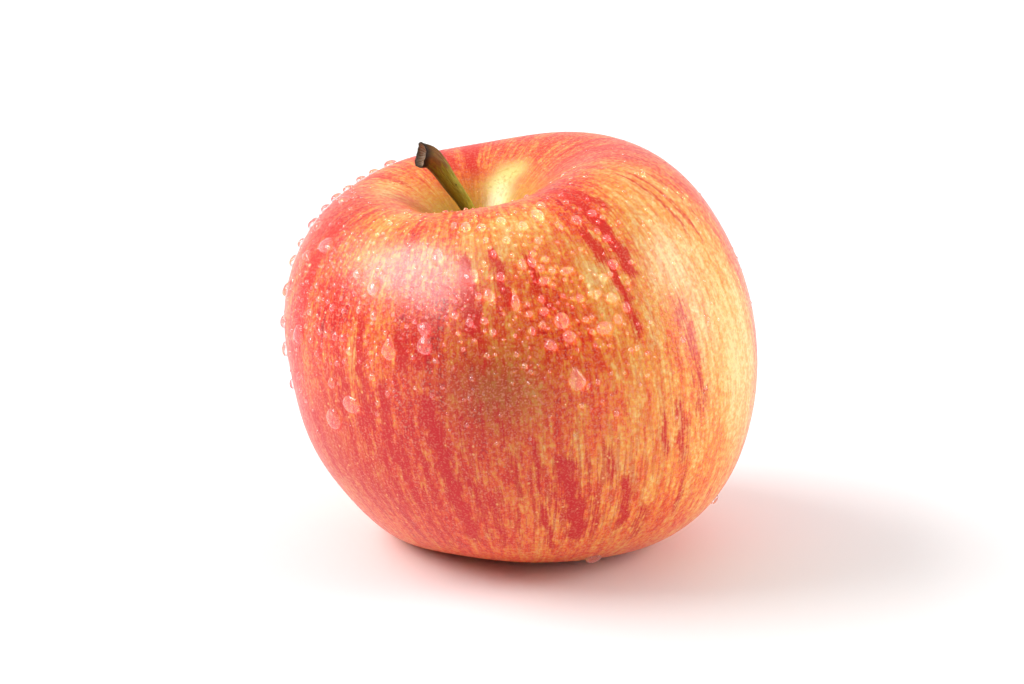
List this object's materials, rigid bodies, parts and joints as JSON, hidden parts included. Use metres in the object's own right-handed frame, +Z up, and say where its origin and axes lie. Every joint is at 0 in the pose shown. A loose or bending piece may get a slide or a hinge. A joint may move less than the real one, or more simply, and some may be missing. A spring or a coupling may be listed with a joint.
{
  "type": "red apple",
  "caption": "Whole ripe red apple with streaked skin, a bent stem in a deep cavity and a dried calyx below, resting upright on its base.",
  "frame": {"origin": "on the surface that the apple rests on, under the middle of its box", "axes": "+Z up; +X towards the taller, fuller shoulder; -Y towards the viewer of the picture; the stem leans to -X"},
  "size_m": [0.0779, 0.0717, 0.0674],
  "materials": {
    "skin": "naturally waxy and glossy, crimson streaks over an orange-yellow ground",
    "stalk": "satin, green-brown bark with a dark broken end",
    "dried_flower": "matt, dry and slightly downy",
    "water": "clear drops on the skin, in the visual model only"
  },
  "bodies": {
    "root": {"fruit": "skin", "stem": "stalk", "calyx": "dried_flower"}
  },
  "joints": []
}
